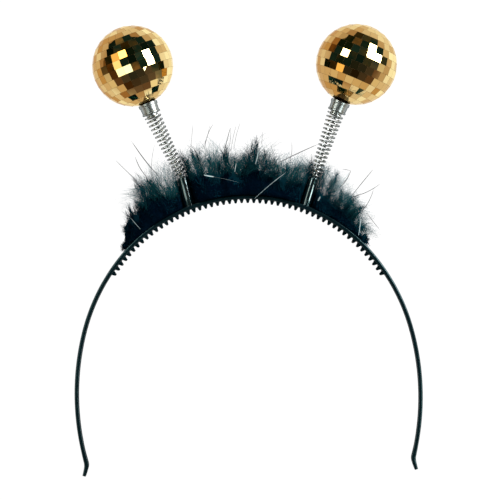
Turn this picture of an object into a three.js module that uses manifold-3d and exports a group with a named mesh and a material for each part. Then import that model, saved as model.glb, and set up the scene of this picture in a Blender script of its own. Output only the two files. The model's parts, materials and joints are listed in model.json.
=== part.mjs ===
// A party headband: a toothed plastic hair band with a feather trim over its crown,
// and two gold mirror balls that bob on conical springs.
// It lies on its side, on the two balls and the two tips of the band. Millimetres, +Z up.

import * as THREE from 'three';
import { mergeVertices } from 'three/addons/utils/BufferGeometryUtils.js';
import Module from 'manifold-3d';

const wasm = await Module();
wasm.setup();

const degree = Math.PI / 180;

// Driving dimensions, in millimetres. The hoop's own frame has x across the head, y up over
// the crown and z across the band's width, with its origin at the middle of the crown.
const clearance = 0.3; // between pieces that touch

// One half of the band's centreline, from the crown down. A negative radius bends outwards.
const bandRun = [
  { stretch: 'crown', radius: 64.9, length: 56.0 },
  { stretch: 'shoulder', radius: 77.9, length: 35.0 },
  { stretch: 'leg', radius: 101.6, length: 51.9 },
  { stretch: 'kink', radius: -4.6, length: 2.2 },
  { stretch: 'tip', radius: -40.0, length: 3.4 },
];
const halfLength = bandRun.reduce((sum, { length }) => sum + length, 0);
const armRun = bandRun.filter(({ radius }) => radius > 0); // what lies above the kink
const armLength = armRun.reduce((sum, { length }) => sum + length, 0);
const stationSpacing = 5.0;
const kinkSpacing = 1.1; // stations close up round the kink

// The band's section along its half length: broad at the crown, narrow at the tips, thickest at the kinks.
const bandSections = [
  { along: 0, width: 8.0, thickness: 1.8 },
  { along: 62, width: 8.0, thickness: 1.8 },
  { along: 138, width: 5.8, thickness: 1.65 },
  { along: 144, width: 5.6, thickness: 1.9 },
  { along: 149, width: 5.2, thickness: 1.35 },
];

// The section's outline: flat inside, crowned outside. Fractions of the half width and of the thickness.
const bandOutline = [
  { across: -0.93, rise: -0.5 },
  { across: 0.93, rise: -0.5 },
  { across: 1.0, rise: -0.36 },
  { across: 1.0, rise: 0.1 },
  { across: 0.84, rise: 0.36 },
  { across: 0.42, rise: 0.5 },
  { across: -0.42, rise: 0.5 },
  { across: -0.84, rise: 0.36 },
  { across: -1.0, rise: 0.1 },
  { across: -1.0, rise: -0.36 },
];

// The comb teeth inside the crown, each a wedge sunk a little into the band.
const tooth = { length: 1.55, root: 1.9, tip: 0.6, acrossBand: 0.84, sunk: 0.4 };
const toothRow = { count: 53, pitch: 2.5, middle: 1.25 };

// The trim's outer form round the crown: angle from the middle of the crown, height above the
// band, and reach towards the front and the back.
const trimRows = [
  { angle: -46.5, height: 2.5, front: 4.0, back: 4.0 },
  { angle: -43, height: 6.0, front: 7.0, back: 7.0 },
  { angle: -38, height: 11.0, front: 9.0, back: 9.0 },
  { angle: -34, height: 15.0, front: 10.5, back: 10.0 },
  { angle: -30.5, height: 18.0, front: 11.0, back: 10.5 },
  { angle: -27, height: 13.0, front: 10.5, back: 10.5 },
  { angle: -22.5, height: 9.5, front: 9.5, back: 10.5 },
  { angle: -16.5, height: 13.0, front: 10.0, back: 10.5 },
  { angle: -13.5, height: 16.0, front: 10.5, back: 11.0 },
  { angle: -9.5, height: 13.5, front: 10.5, back: 11.0 },
  { angle: -5.2, height: 18.0, front: 11.0, back: 11.0 },
  { angle: -1.5, height: 14.5, front: 11.0, back: 11.0 },
  { angle: 3, height: 20.0, front: 11.5, back: 11.0 },
  { angle: 7, height: 16.5, front: 11.0, back: 11.0 },
  { angle: 12, height: 13.0, front: 10.5, back: 11.0 },
  { angle: 16, height: 14.5, front: 10.0, back: 11.0 },
  { angle: 23, height: 14.0, front: 10.5, back: 10.5 },
  { angle: 30, height: 13.0, front: 10.5, back: 10.5 },
  { angle: 37, height: 11.5, front: 9.5, back: 9.5 },
  { angle: 42, height: 7.0, front: 7.5, back: 7.5 },
  { angle: 47, height: 2.5, front: 4.0, back: 4.0 },
];
const trimArchPoints = 11; // points over the top of each section
const trimSquareness = 0.75; // below 1 the section is fuller than an ellipse
const trimSeat = 0.45; // the trim's straight facets above the band's outer face
const trimFloorGap = 0.5; // the soft trim flattens this far above the table
const trimSlot = { halfWidth: 3.2, below: 1.0, length: 30, front: 30 }; // opening in front of each peg

// The two stalks: where they stand round the crown, and how far the peg, the spring and the ball
// with its cap lean out, in degrees.
const stalks = [
  { name: 'left', side: -1, footAngle: 19.6, pegLean: 13.2, springLean: 24.7, ballLean: 20.2 },
  { name: 'right', side: 1, footAngle: 21.8, pegLean: 18.0, springLean: 19.8, ballLean: 24.2 },
];
const peg = { radius: 2.05, length: 11.0, bevel: 0.4, nibRadius: 1.0, nibLength: 1.3, facets: 24 };
const spring = { wire: 0.66, bottomRadius: 1.9, topRadius: 3.1, turns: 15.5, length: 26.8 };
const springFacets = { round: 5, perTurn: 10 };
const cap = { bottomRadius: 3.45, topRadius: 3.9, rim: 0.3, rimHeight: 0.8, height: 4.1 };
const capNib = { radius: 2.3, length: 1.8 };
const capFacets = 28;
const ball = { radius: 16.25, tilesRound: 31, tileRows: 16 };

// Finishes.
const glossyBlack = { color: 0x0b0d0f, roughness: 0.22, metalness: 0 };
const blackFeather = { color: 0x07090b, roughness: 0.85, metalness: 0 };
const brightWire = { color: 0xb9bcc0, roughness: 0.25, metalness: 1 };
const silverPlate = { color: 0xd2d2d0, roughness: 0.15, metalness: 1 };
const goldMirror = { color: 0xd9a93f, roughness: 0.08, metalness: 1 };

function finish(values) {
  return new THREE.MeshStandardMaterial(values);
}

function piece(name, geometry, values) {
  const mesh = new THREE.Mesh(geometry, finish(values));
  mesh.name = name;
  return mesh;
}

// A closed mesh as a solid that can be joined and cut, and back again.
function toSolid(geometry) {
  const bare = geometry.clone();
  bare.deleteAttribute('normal');
  bare.deleteAttribute('uv');
  const merged = mergeVertices(bare, 1e-4);
  return new wasm.Manifold(
    new wasm.Mesh({
      numProp: 3,
      vertProperties: new Float32Array(merged.attributes.position.array),
      triVerts: new Uint32Array(merged.index.array),
    }),
  );
}

function fromSolid(solid) {
  const mesh = solid.getMesh();
  const geometry = new THREE.BufferGeometry();
  geometry.setAttribute('position', new THREE.BufferAttribute(new Float32Array(mesh.vertProperties), 3));
  geometry.setIndex(new THREE.BufferAttribute(new Uint32Array(mesh.triVerts), 1));
  geometry.computeVertexNormals();
  return geometry;
}

// A closed skin over a row of convex rings that all have the same number of points, with flat ends.
function loft(rings) {
  const points = rings.flat();
  const size = rings[0].length;
  const index = [];
  for (let row = 0; row + 1 < rings.length; row += 1) {
    for (let k = 0; k < size; k += 1) {
      const a = row * size + k;
      const b = row * size + ((k + 1) % size);
      index.push(a, a + size, b, b, a + size, b + size);
    }
  }
  const last = (rings.length - 1) * size;
  for (let k = 1; k + 1 < size; k += 1) {
    index.push(0, k, k + 1);
    index.push(last, last + k + 1, last + k);
  }
  const geometry = new THREE.BufferGeometry().setFromPoints(points);
  geometry.setIndex(index);
  return geometry;
}

// Straight-line reading of a table at one place.
function readTable(rows, key, at, column) {
  const next = rows.findIndex((row) => row[key] >= at);
  if (next <= 0) {
    return rows[next === 0 ? 0 : rows.length - 1][column];
  }
  const low = rows[next - 1];
  const high = rows[next];
  return THREE.MathUtils.mapLinear(at, low[key], high[key], low[column], high[column]);
}

// The band's centreline at a distance from the middle of the crown, negative to the left.
function bandStation(distance) {
  const side = distance < 0 ? -1 : 1;
  let left = Math.abs(distance);
  let heading = 0;
  const place = new THREE.Vector2();
  for (const { radius, length } of bandRun) {
    const walked = Math.min(left, length);
    const turned = heading + walked / radius;
    place.x += radius * (Math.sin(turned) - Math.sin(heading));
    place.y += radius * (Math.cos(turned) - Math.cos(heading));
    heading = turned;
    left -= walked;
  }
  return {
    centre: new THREE.Vector3(side * place.x, place.y, 0),
    outward: new THREE.Vector3(side * Math.sin(heading), Math.cos(heading), 0),
    width: readTable(bandSections, 'along', Math.abs(distance), 'width'),
    thickness: readTable(bandSections, 'along', Math.abs(distance), 'thickness'),
  };
}

function bandRing(distance) {
  const { centre, outward, width, thickness } = bandStation(distance);
  return bandOutline.map(({ across, rise }) =>
    centre
      .clone()
      .addScaledVector(outward, rise * thickness)
      .setZ((across * width) / 2),
  );
}

// Distances of the rings along one half of the band, from the crown to the tip.
function halfStations() {
  const distances = [];
  for (let at = stationSpacing / 2; at < armLength - kinkSpacing; at += stationSpacing) {
    distances.push(at);
  }
  for (let at = armLength; at < halfLength; at += kinkSpacing) {
    distances.push(at);
  }
  distances.push(halfLength);
  return distances;
}

function toothSolid(distance) {
  const { centre, outward, width, thickness } = bandStation(distance);
  const outline = new THREE.Shape([
    new THREE.Vector2(-tooth.root / 2, tooth.sunk),
    new THREE.Vector2(-tooth.root / 2, 0),
    new THREE.Vector2(-tooth.tip / 2, -tooth.length),
    new THREE.Vector2(tooth.tip / 2, -tooth.length),
    new THREE.Vector2(tooth.root / 2, 0),
    new THREE.Vector2(tooth.root / 2, tooth.sunk),
  ]);
  const depth = width * tooth.acrossBand;
  const geometry = new THREE.ExtrudeGeometry(outline, { depth, bevelEnabled: false });
  geometry.translate(0, -thickness / 2, -depth / 2);
  geometry.rotateZ(-Math.atan2(outward.x, outward.y));
  geometry.translate(centre.x, centre.y, 0);
  return toSolid(geometry);
}

function headbandGeometry() {
  const half = halfStations();
  const distances = [...half.map((at) => -at).reverse(), ...half];
  let solid = toSolid(loft(distances.map(bandRing)));
  const { count, pitch, middle: rowMiddle } = toothRow;
  for (let k = 0; k < count; k += 1) {
    solid = solid.add(toothSolid(rowMiddle + (k - (count - 1) / 2) * pitch));
  }
  return fromSolid(solid);
}

const crownRadius = bandRun[0].radius;
const crownTop = crownRadius + bandSections[0].thickness / 2; // the band's outer face from the crown's centre

// A point round the crown: angle from its middle, radius from its centre, and place across the band.
function crownPoint(angle, radius, across) {
  return new THREE.Vector3(radius * Math.sin(angle), radius * Math.cos(angle) - crownRadius, across);
}

// The way out along a stalk that leans by so many degrees.
function leaning({ side }, degrees) {
  return new THREE.Vector3(side * Math.sin(degrees * degree), Math.cos(degrees * degree), 0);
}

// The gap that keeps a round end of this radius clear of a face that it is tipped against.
function tippedGap(radius, from, to) {
  return clearance + radius * Math.sin(Math.abs(to - from) * degree);
}

// Where the pieces of a stalk stand, from the crown to the ball's centre.
function stalkPlaces(stalk) {
  const { pegLean, springLean, ballLean } = stalk;
  const springWay = leaning(stalk, springLean);
  const footGap = tippedGap(spring.bottomRadius + spring.wire / 2, pegLean, springLean);
  const topGap = tippedGap(spring.topRadius + spring.wire / 2, springLean, ballLean);
  const pegGap = tippedGap(peg.radius, stalk.footAngle, pegLean);
  const pegFoot = crownPoint(stalk.side * stalk.footAngle * degree, crownTop + pegGap, 0);
  const pegTop = pegFoot.clone().addScaledVector(leaning(stalk, pegLean), peg.length);
  const springFoot = pegTop.clone().addScaledVector(springWay, footGap);
  const capFoot = springFoot.clone().addScaledVector(springWay, spring.length + topGap);
  const ballCentre = capFoot
    .clone()
    .addScaledVector(leaning(stalk, ballLean), cap.height + clearance + ball.radius);
  return { pegFoot, springFoot, capFoot, ballCentre };
}

// The hoop lies on its lower ball and its tips, so its ball end is raised by this angle.
const tipStation = bandStation(halfLength);
const ballHeight = Math.min(...stalks.map((stalk) => stalkPlaces(stalk).ballCentre.y));
const restSpan = Math.hypot(ballHeight - tipStation.centre.y, tipStation.width / 2);
const restTilt =
  Math.asin(ball.radius / restSpan) - Math.atan2(tipStation.width / 2, ballHeight - tipStation.centre.y);
const hoopRise = ball.radius - ballHeight * Math.sin(restTilt); // the crown's middle above the table

// How far back a point of the trim may reach before it meets the table.
function tableLimit(height) {
  return (trimFloorGap - hoopRise - height * Math.sin(restTilt)) / Math.cos(restTilt);
}

function trimRing({ angle, height, front, back }) {
  const ring = [];
  for (let k = 0; k < trimArchPoints; k += 1) {
    const turn = (Math.PI * k) / (trimArchPoints - 1);
    const across = Math.sign(Math.cos(turn)) * Math.abs(Math.cos(turn)) ** trimSquareness;
    const rise = Math.sin(turn) ** trimSquareness;
    const point = crownPoint(
      angle * degree,
      crownTop + trimSeat + height * rise,
      across > 0 ? across * front : across * back,
    );
    point.z = Math.max(point.z, tableLimit(point.y));
    ring.push(point);
  }
  return ring;
}

// A slot along a peg, round at the back and open to the front.
function slotSolid(stalk) {
  const { halfWidth, below, length, front } = trimSlot;
  const outline = new THREE.Shape();
  outline.moveTo(halfWidth, -front);
  outline.lineTo(halfWidth, 0);
  outline.absarc(0, 0, halfWidth, 0, Math.PI, false);
  outline.lineTo(-halfWidth, -front);
  const along = { depth: length, bevelEnabled: false, curveSegments: 8 };
  const geometry = new THREE.ExtrudeGeometry(outline, along);
  geometry.rotateX(-Math.PI / 2);
  geometry.translate(0, -below, 0);
  geometry.rotateZ(-stalk.side * stalk.pegLean * degree);
  const { pegFoot } = stalkPlaces(stalk);
  geometry.translate(pegFoot.x, pegFoot.y, 0);
  return toSolid(geometry);
}

function trimGeometry() {
  let solid = toSolid(loft(trimRows.map(trimRing)));
  for (const stalk of stalks) {
    solid = solid.subtract(slotSolid(stalk));
  }
  return fromSolid(solid);
}

// Each piece of a stalk stands along y from its own foot.
function pegGeometry() {
  const profile = [
    [0, 0],
    [peg.radius, 0],
    [peg.radius, peg.length - peg.bevel],
    [peg.radius - peg.bevel, peg.length],
    [peg.nibRadius, peg.length],
    [peg.nibRadius, peg.length + peg.nibLength],
    [0, peg.length + peg.nibLength],
  ];
  return new THREE.LatheGeometry(profile.map(([x, y]) => new THREE.Vector2(x, y)), peg.facets);
}

class ConicalHelix extends THREE.Curve {
  getPoint(t, target = new THREE.Vector3()) {
    const turn = 2 * Math.PI * spring.turns * t;
    const radius = THREE.MathUtils.lerp(spring.bottomRadius, spring.topRadius, t);
    const rise = THREE.MathUtils.lerp(spring.wire / 2, spring.length - spring.wire / 2, t);
    return target.set(radius * Math.cos(turn), rise, radius * Math.sin(turn));
  }
}

function springGeometry() {
  const wire = new THREE.Shape();
  for (let k = 0; k < springFacets.round; k += 1) {
    const turn = (2 * Math.PI * k) / springFacets.round;
    const place = [(spring.wire / 2) * Math.cos(turn), (spring.wire / 2) * Math.sin(turn)];
    if (k === 0) {
      wire.moveTo(...place);
    } else {
      wire.lineTo(...place);
    }
  }
  wire.closePath();
  return new THREE.ExtrudeGeometry(wire, {
    extrudePath: new ConicalHelix(),
    steps: Math.round(spring.turns * springFacets.perTurn),
  });
}

// The cap's top is dished to sit round the underside of the ball.
function capGeometry() {
  const dish = ball.radius - Math.sqrt(ball.radius ** 2 - cap.topRadius ** 2);
  const profile = [
    [0, -capNib.length],
    [capNib.radius, -capNib.length],
    [capNib.radius, 0],
    [cap.bottomRadius, 0],
    [cap.bottomRadius + cap.rim, cap.rimHeight / 2],
    [cap.bottomRadius, cap.rimHeight],
    [cap.topRadius, cap.height - cap.rimHeight],
    [cap.topRadius, cap.height + dish],
    [cap.topRadius / 2, cap.height + dish / 4],
    [0, cap.height],
  ];
  return new THREE.LatheGeometry(profile.map(([x, y]) => new THREE.Vector2(x, y)), capFacets);
}

function stalkPieces(stalk) {
  const { pegFoot, springFoot, capFoot, ballCentre } = stalkPlaces(stalk);
  const stand = (name, geometry, values, place, lean) => {
    const mesh = piece(`${stalk.name}_${name}`, geometry, values);
    mesh.position.copy(place);
    mesh.rotation.z = -stalk.side * lean * degree;
    return mesh;
  };
  const tiled = new THREE.SphereGeometry(ball.radius, ball.tilesRound, ball.tileRows);
  return [
    stand('peg', pegGeometry(), glossyBlack, pegFoot, stalk.pegLean),
    stand('spring', springGeometry(), brightWire, springFoot, stalk.springLean),
    stand('cap', capGeometry(), silverPlate, capFoot, stalk.ballLean),
    stand('ball', tiled, goldMirror, ballCentre, stalk.ballLean),
  ];
}

const hoop = new THREE.Group();
hoop.add(piece('headband', headbandGeometry(), glossyBlack));
hoop.add(piece('feather_trim', trimGeometry(), blackFeather));
for (const stalk of stalks) {
  hoop.add(...stalkPieces(stalk));
}
hoop.rotation.x = restTilt;

// The part's origin is on the table, under the middle of the whole object.
hoop.updateMatrixWorld(true);
const bounds = new THREE.Box3().setFromObject(hoop, true);
const middle = bounds.getCenter(new THREE.Vector3());
hoop.position.set(-middle.x, -middle.y, -bounds.min.z);

const headpiece = new THREE.Group();
headpiece.add(hoop);

export default headpiece;
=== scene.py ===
import json
import math

import bpy
import numpy as np
from mathutils import Matrix, Vector


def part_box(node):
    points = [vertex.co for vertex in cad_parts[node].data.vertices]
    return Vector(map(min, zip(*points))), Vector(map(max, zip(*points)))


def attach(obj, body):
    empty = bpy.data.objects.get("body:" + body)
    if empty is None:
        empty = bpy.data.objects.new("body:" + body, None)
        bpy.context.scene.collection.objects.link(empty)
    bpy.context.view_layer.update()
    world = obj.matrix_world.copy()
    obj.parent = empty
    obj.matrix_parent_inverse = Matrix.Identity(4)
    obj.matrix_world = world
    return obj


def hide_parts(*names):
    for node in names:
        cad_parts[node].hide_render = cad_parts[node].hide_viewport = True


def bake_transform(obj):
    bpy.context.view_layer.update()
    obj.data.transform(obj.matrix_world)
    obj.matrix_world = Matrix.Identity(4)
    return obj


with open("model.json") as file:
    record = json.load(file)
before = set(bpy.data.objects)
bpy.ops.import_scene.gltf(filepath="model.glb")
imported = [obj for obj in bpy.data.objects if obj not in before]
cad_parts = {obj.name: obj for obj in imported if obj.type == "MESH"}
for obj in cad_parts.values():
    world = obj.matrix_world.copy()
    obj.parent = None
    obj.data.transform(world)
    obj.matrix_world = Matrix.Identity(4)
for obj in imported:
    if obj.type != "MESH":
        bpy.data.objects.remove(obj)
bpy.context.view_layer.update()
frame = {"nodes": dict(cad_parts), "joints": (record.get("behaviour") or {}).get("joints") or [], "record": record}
mm = 0.001
sides = ("left", "right")
print("frame loaded with", len(frame["nodes"]), "nodes")


def unit(vector):
    vector = np.asarray(vector, float)
    return vector / np.linalg.norm(vector, axis=-1, keepdims=True)


def curve(t, start, middle, end):  # from start to end, drawn towards the middle on its way
    return (1 - t) ** 2 * start + 2 * t * (1 - t) * middle + t * t * end


band = dict(
    crown=(64.9, 56.0),  # radius and length of each stretch of one half, in mm; minus bends outwards
    shoulder=(77.9, 35.0),
    leg=(101.6, 51.9),
    kink=(-4.6, 2.2),
    tip=(-40.0, 3.4),
    along=(0, 62, 138, 144, 149),  # where the width and the thickness are given
    width=(8.0, 8.0, 5.8, 5.6, 5.2),
    thickness=(1.8, 1.8, 1.65, 1.9, 1.35),
    legStep=1.1,  # between sections
    kinkStep=0.25,
    flat=0.93,  # of the half width, where the inner face's rounded edges begin
    edgeRise=0.14,  # of the thickness, over such an edge
    edgeTurns=(30, 60, 90),  # degrees round it
    sideRise=0.10,  # of the thickness, where the crowned outer face meets the sides
    crownPower=0.55,
    crownPoints=21,
    teeth=53,
    toothMiddle=1.25,  # of the row, right of the crown's middle
    toothPitch=2.5,
    toothLength=1.55,
    toothTip=0.11,  # half widths, as parts of the pitch
    toothRoot=0.41,
    toothPlaces=(0.05, 0.11, 0.17, 0.23, 0.29, 0.35, 0.41, 0.455),  # sections beside its middle, likewise
    toothReach=(0.80, 0.86),  # of the half width, where a tooth begins to end and ends
    insideColumns=8,  # of the outline's points, on the inner face
    smooth=50,  # degrees between faces that shade as one
    gloss=dict(sheen=0.5, rough=0.16),
    matt=dict(sheen=0.03, rough=0.55),  # against the hair
)

# The hoop's own axes, read from the frame: right across the head, up over the crown, front to the viewer.
joints = {joint["name"]: joint for joint in frame["joints"]}
seat = next(mount for mount in frame["record"]["mounts"] if mount["name"] == "crown_inner_face")
hoopUp = -unit(seat["axis"])
hoopFront = unit(joints["left_sway"]["axis"])
hoopRight = np.cross(hoopUp, hoopFront)
hoopAxes = np.array([hoopRight, hoopUp, hoopFront])
crownMiddle = np.array(seat["pos_m"]) + hoopUp * band["thickness"][0] / 2 * mm


def toFrame(points):  # hoop millimetres to the part's metres
    return crownMiddle + np.asarray(points, float) @ hoopAxes * mm


# Mesh helpers.
def newPiece(name, points, faceSets, material, sharpAngle=None):
    mesh = bpy.data.meshes.new(name)
    faceSets = [np.asarray(faces, np.int32) for faces in faceSets if len(faces)]
    counts = np.concatenate([np.full(len(faces), faces.shape[1]) for faces in faceSets])
    corners = np.concatenate([faces.ravel() for faces in faceSets])
    mesh.vertices.add(len(points))
    mesh.vertices.foreach_set("co", np.asarray(points, np.float32).ravel())
    mesh.loops.add(len(corners))
    mesh.loops.foreach_set("vertex_index", corners)
    mesh.polygons.add(len(counts))
    mesh.polygons.foreach_set("loop_start", np.concatenate([[0], np.cumsum(counts)[:-1]]).astype(np.int32))
    mesh.polygons.foreach_set("use_smooth", np.full(len(counts), sharpAngle is not None))
    mesh.update(calc_edges=True)
    if sharpAngle is not None:
        mesh.set_sharp_from_angle(angle=math.radians(sharpAngle))
    mesh.materials.append(material)
    piece = bpy.data.objects.new(name, mesh)
    bpy.context.scene.collection.objects.link(piece)
    return piece


def settle(piece, body, slot, *nodes):  # ride a body and stand for CAD nodes; slot is not used
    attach(piece, body)
    if nodes:
        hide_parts(*nodes)


def gridFaces(rows, columns):  # quads over rings that close on themselves
    row, column = np.meshgrid(np.arange(rows - 1), np.arange(columns), indexing="ij")
    after = (column + 1) % columns
    a, b = row * columns + column, row * columns + after
    return np.stack([a, b, b + columns, a + columns], -1).reshape(-1, 4)


def closedFaces(rows, columns):  # those quads, and one flat face at each end
    ring = np.arange(columns)
    return [gridFaces(rows, columns), np.stack([ring[::-1], (rows - 1) * columns + ring])]


def roundCorners(outline, radius, steps=4, most=0.45):  # a corner takes at most that part of a side
    outline = np.asarray(outline, float)
    made = [outline[0]]
    for before, corner, after in zip(outline, outline[1:], outline[2:]):
        back, onward = before - corner, after - corner
        reach = min(radius, most * np.linalg.norm(back), most * np.linalg.norm(onward))
        start, end = corner + unit(back) * reach, corner + unit(onward) * reach
        made += [curve(t, start, corner, end) for t in np.linspace(0, 1, steps + 1)]
    made.append(outline[-1])
    return np.array(made)


# A turned piece: its outline holds (radius, height) in mm, from one pole to the other.
def lathePiece(name, outline, segments, origin, axes, material, sharpAngle=35):
    turn = np.linspace(0, 2 * np.pi, segments, endpoint=False)
    spoke = np.cos(turn)[:, None] * axes["across"] + np.sin(turn)[:, None] * axes["front"]
    outline = np.asarray(outline, float) * mm
    rings = outline[1:-1]
    points = origin + rings[:, 0, None, None] * spoke + (rings[:, 1, None] * axes["along"])[:, None]
    points = points.reshape(-1, 3)
    poles = origin + outline[[0, -1], 1, None] * axes["along"]
    count = len(points)
    column = np.arange(segments)
    after = (column + 1) % segments
    last = (len(rings) - 1) * segments
    bottom = np.stack([np.full(segments, count), after, column], -1)
    top = np.stack([np.full(segments, count + 1), last + column, last + after], -1)
    quads = gridFaces(len(rings), segments)
    return newPiece(name, np.concatenate([points, poles]), [quads, bottom, top], material, sharpAngle)


# Shader helper: a socket that takes part in Python sums.
class Wire:
    def __init__(self, tree, socket=None):
        self.tree = tree
        self.socket = socket

    def plug(self, socket, value):
        if isinstance(value, Wire):
            self.tree.links.new(value.socket, socket)
        else:
            socket.default_value = value

    def node(self, kind, settings=None, sockets=None, out=0):
        made = self.tree.nodes.new(kind)
        for name, value in (settings or {}).items():
            if name == "stops":
                ramp = made.color_ramp.elements
                while len(ramp) < len(value):
                    ramp.new(0.5)
                for element, (place, colour) in zip(ramp, value):
                    element.position = place
                    element.color = (*colour, 1)
            else:
                setattr(made, name, value)
        for name, value in (sockets or {}).items():
            self.plug(made.inputs[name], value)
        return Wire(self.tree, made.outputs[out])

    def maths(self, operation, *values):
        return self.node("ShaderNodeMath", {"operation": operation}, dict(enumerate(values)))

    def __add__(self, other):
        return self.maths("ADD", self, other)

    def __sub__(self, other):
        return self.maths("SUBTRACT", self, other)

    def __rsub__(self, other):
        return self.maths("SUBTRACT", other, self)

    def __mul__(self, other):
        return self.maths("MULTIPLY", self, other)

    def __pow__(self, other):
        return self.maths("POWER", self, other)

    __radd__ = __add__
    __rmul__ = __mul__

    def clamped(self):
        return self.node("ShaderNodeClamp", {}, {"Value": self})

    def rising(self, low, high):  # from 0 at the low value to 1 at the high one
        return ((self - low) * (1 / (high - low))).clamped()

    def between(self, low, high):  # a colour between two colours
        return self.node("ShaderNodeMix", {"data_type": "RGBA"}, {0: self, 6: (*low, 1), 7: (*high, 1)}, 2)

    def noise(self, scale, detail=2.0, roughness=0.5):  # in the object's own coordinates, scale per metre
        place = self.node("ShaderNodeTexCoord", out=3)
        values = {"Vector": place, "Scale": scale, "Detail": detail, "Roughness": roughness}
        return self.node("ShaderNodeTexNoise", {}, values)

    def bump(self, height, strength, distance):
        values = {"Height": height, "Strength": strength, "Distance": distance}
        return self.node("ShaderNodeBump", {}, values)


def newMaterial(name, fixed):  # the shader's constant values, and a wire to build the rest with
    material = bpy.data.materials.new(name)
    material.use_nodes = True
    shader = material.node_tree.nodes["Principled BSDF"]
    for socket, value in fixed.items():
        shader.inputs[socket].default_value = value
    return material, shader, Wire(material.node_tree)


# Camera, square on to the hoop as in the photograph.
camera = dict(
    target=(1.72, -21.3),  # hoop millimetres at the picture's middle
    distance=1200.0,
    view=200.0,  # millimetres across the picture at the hoop
    roll=1.18,  # degrees the hoop leans in the picture
    sensor=36.0,
    clipEnd=20.0,  # metres
)


def makeCamera():
    lens = bpy.data.cameras.new("camera")
    lens.sensor_width = camera["sensor"]
    lens.lens = camera["sensor"] * camera["distance"] / camera["view"]
    lens.clip_end = camera["clipEnd"]
    holder = bpy.data.objects.new("camera", lens)
    bpy.context.scene.collection.objects.link(holder)
    roll = math.radians(camera["roll"])
    pictureUp = hoopUp * math.cos(roll) + hoopRight * math.sin(roll)
    pictureRight = np.cross(pictureUp, hoopFront)
    place = toFrame((*camera["target"], camera["distance"]))
    turn = Matrix([pictureRight, pictureUp, hoopFront]).transposed().to_4x4()
    holder.matrix_world = Matrix.Translation(Vector(place)) @ turn
    bpy.context.scene.camera = holder


# Studio: a glowing white table in a dim, cluttered room, with soft boxes and a pale wall at the near side.
studio = dict(
    table=(0.05, 0.05, 0.05),
    tableMottle=0.98,  # of that, in its darker spots
    tableGrain=(60, 4),  # scale per metre and detail
    tableFixed={"Roughness": 0.9, "Specular IOR Level": 0.1, "Emission Strength": 1.0},
    tableSize=6.0,
    tableWhite=(0.155, 0.30),  # metres from the middle where the white ends and the cream is full
    tableCream=(0.58, 0.44, 0.31),
    roomNoise={"Scale": 2.6, "Detail": 8.0, "Roughness": 0.66},
    room=(
        (0.40, (0.005, 0.017, 0.020)),
        (0.50, (0.011, 0.034, 0.038)),
        (0.56, (0.06, 0.055, 0.03)),
        (0.65, (0.34, 0.19, 0.07)),
    ),
    wall=(  # from the table's level upwards
        (0.0, (0.95, 0.86, 0.70)),
        (0.26, (0.95, 0.86, 0.70)),
        (0.34, (0.20, 0.13, 0.09)),
        (0.80, (0.03, 0.03, 0.025)),
    ),
    wallEdge=(0.15, 0.40),  # of the way to the near side, where the wall starts and is full
    boxDistance=0.9,
    boxes=(  # turn from +X and lean from straight up in degrees, then metres and radiance
        dict(turn=25.6, lean=58.4, width=0.40, height=0.39, radiance=16, tint=(1, 1, 1)),
        dict(turn=145.8, lean=40.1, width=0.225, height=0.19, radiance=8, tint=(1, 1, 0.95)),
        dict(turn=168.8, lean=42.9, width=0.70, height=0.27, radiance=2.2, tint=(1, 1, 0.85)),
        dict(turn=90, lean=48.7, width=0.14, height=0.14, radiance=18, tint=(1, 1, 1)),
        dict(turn=-166, lean=26, width=0.15, height=0.30, radiance=2.0, tint=(0.9, 1, 0.96)),
        dict(turn=-18, lean=43.5, width=0.15, height=0.30, radiance=9.5, tint=(0.9, 1, 0.96)),
    ),
)


def makeTable():
    half = studio["tableSize"] / 2
    corners = [(-half, -half, 0), (half, -half, 0), (half, half, 0), (-half, half, 0)]
    paper, shader, wire = newMaterial("pale_table", studio["tableFixed"])
    place = wire.node("ShaderNodeTexCoord", out=3)
    away = wire.node("ShaderNodeVectorMath", {"operation": "LENGTH"}, {0: place}, 1)
    share = away.rising(*studio["tableWhite"])
    wire.plug(shader.inputs["Emission Color"], share.between((1, 1, 1), studio["tableCream"]))
    pale = studio["table"]
    dark = [studio["tableMottle"] * part for part in pale]
    wire.plug(shader.inputs["Base Color"], wire.noise(*studio["tableGrain"]).between(dark, pale))
    newPiece("table", corners, [[(0, 1, 2, 3)]], paper)


def makeRoom():
    world = bpy.context.scene.world or bpy.data.worlds.new("studio")
    bpy.context.scene.world = world
    world.use_nodes = True
    wire = Wire(world.node_tree)
    direction = wire.node("ShaderNodeTexCoord", out=0)
    clutter = wire.node("ShaderNodeTexNoise", {}, {"Vector": direction, **studio["roomNoise"]})
    room = wire.node("ShaderNodeValToRGB", {"stops": studio["room"]}, {0: clutter})
    nearness = wire.node("ShaderNodeSeparateXYZ", {}, {0: direction}, 1) * -1
    height = wire.node("ShaderNodeSeparateXYZ", {}, {0: direction}, 2)
    wall = wire.node("ShaderNodeValToRGB", {"stops": studio["wall"]}, {0: height})
    share = nearness.rising(*studio["wallEdge"])
    seen = wire.node("ShaderNodeMix", {"data_type": "RGBA"}, {0: share, 6: room, 7: wall}, 2)
    wire.plug(world.node_tree.nodes["Background"].inputs["Color"], seen)


def makeBoxes():
    for number, box in enumerate(studio["boxes"]):
        lamp = bpy.data.lights.new(f"soft_box_{number}", "AREA")
        lamp.shape = "RECTANGLE"
        lamp.size, lamp.size_y = box["width"], box["height"]
        lamp.energy = box["radiance"] * math.pi * box["width"] * box["height"]
        lamp.color = box["tint"]
        turn, lean = math.radians(box["turn"]), math.radians(box["lean"])
        way = Vector((math.sin(lean) * math.cos(turn), math.sin(lean) * math.sin(turn), math.cos(lean)))
        holder = bpy.data.objects.new(lamp.name, lamp)
        holder.location = way * studio["boxDistance"]
        holder.rotation_euler = way.to_track_quat("Z", "Y").to_euler()
        bpy.context.scene.collection.objects.link(holder)


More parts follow.
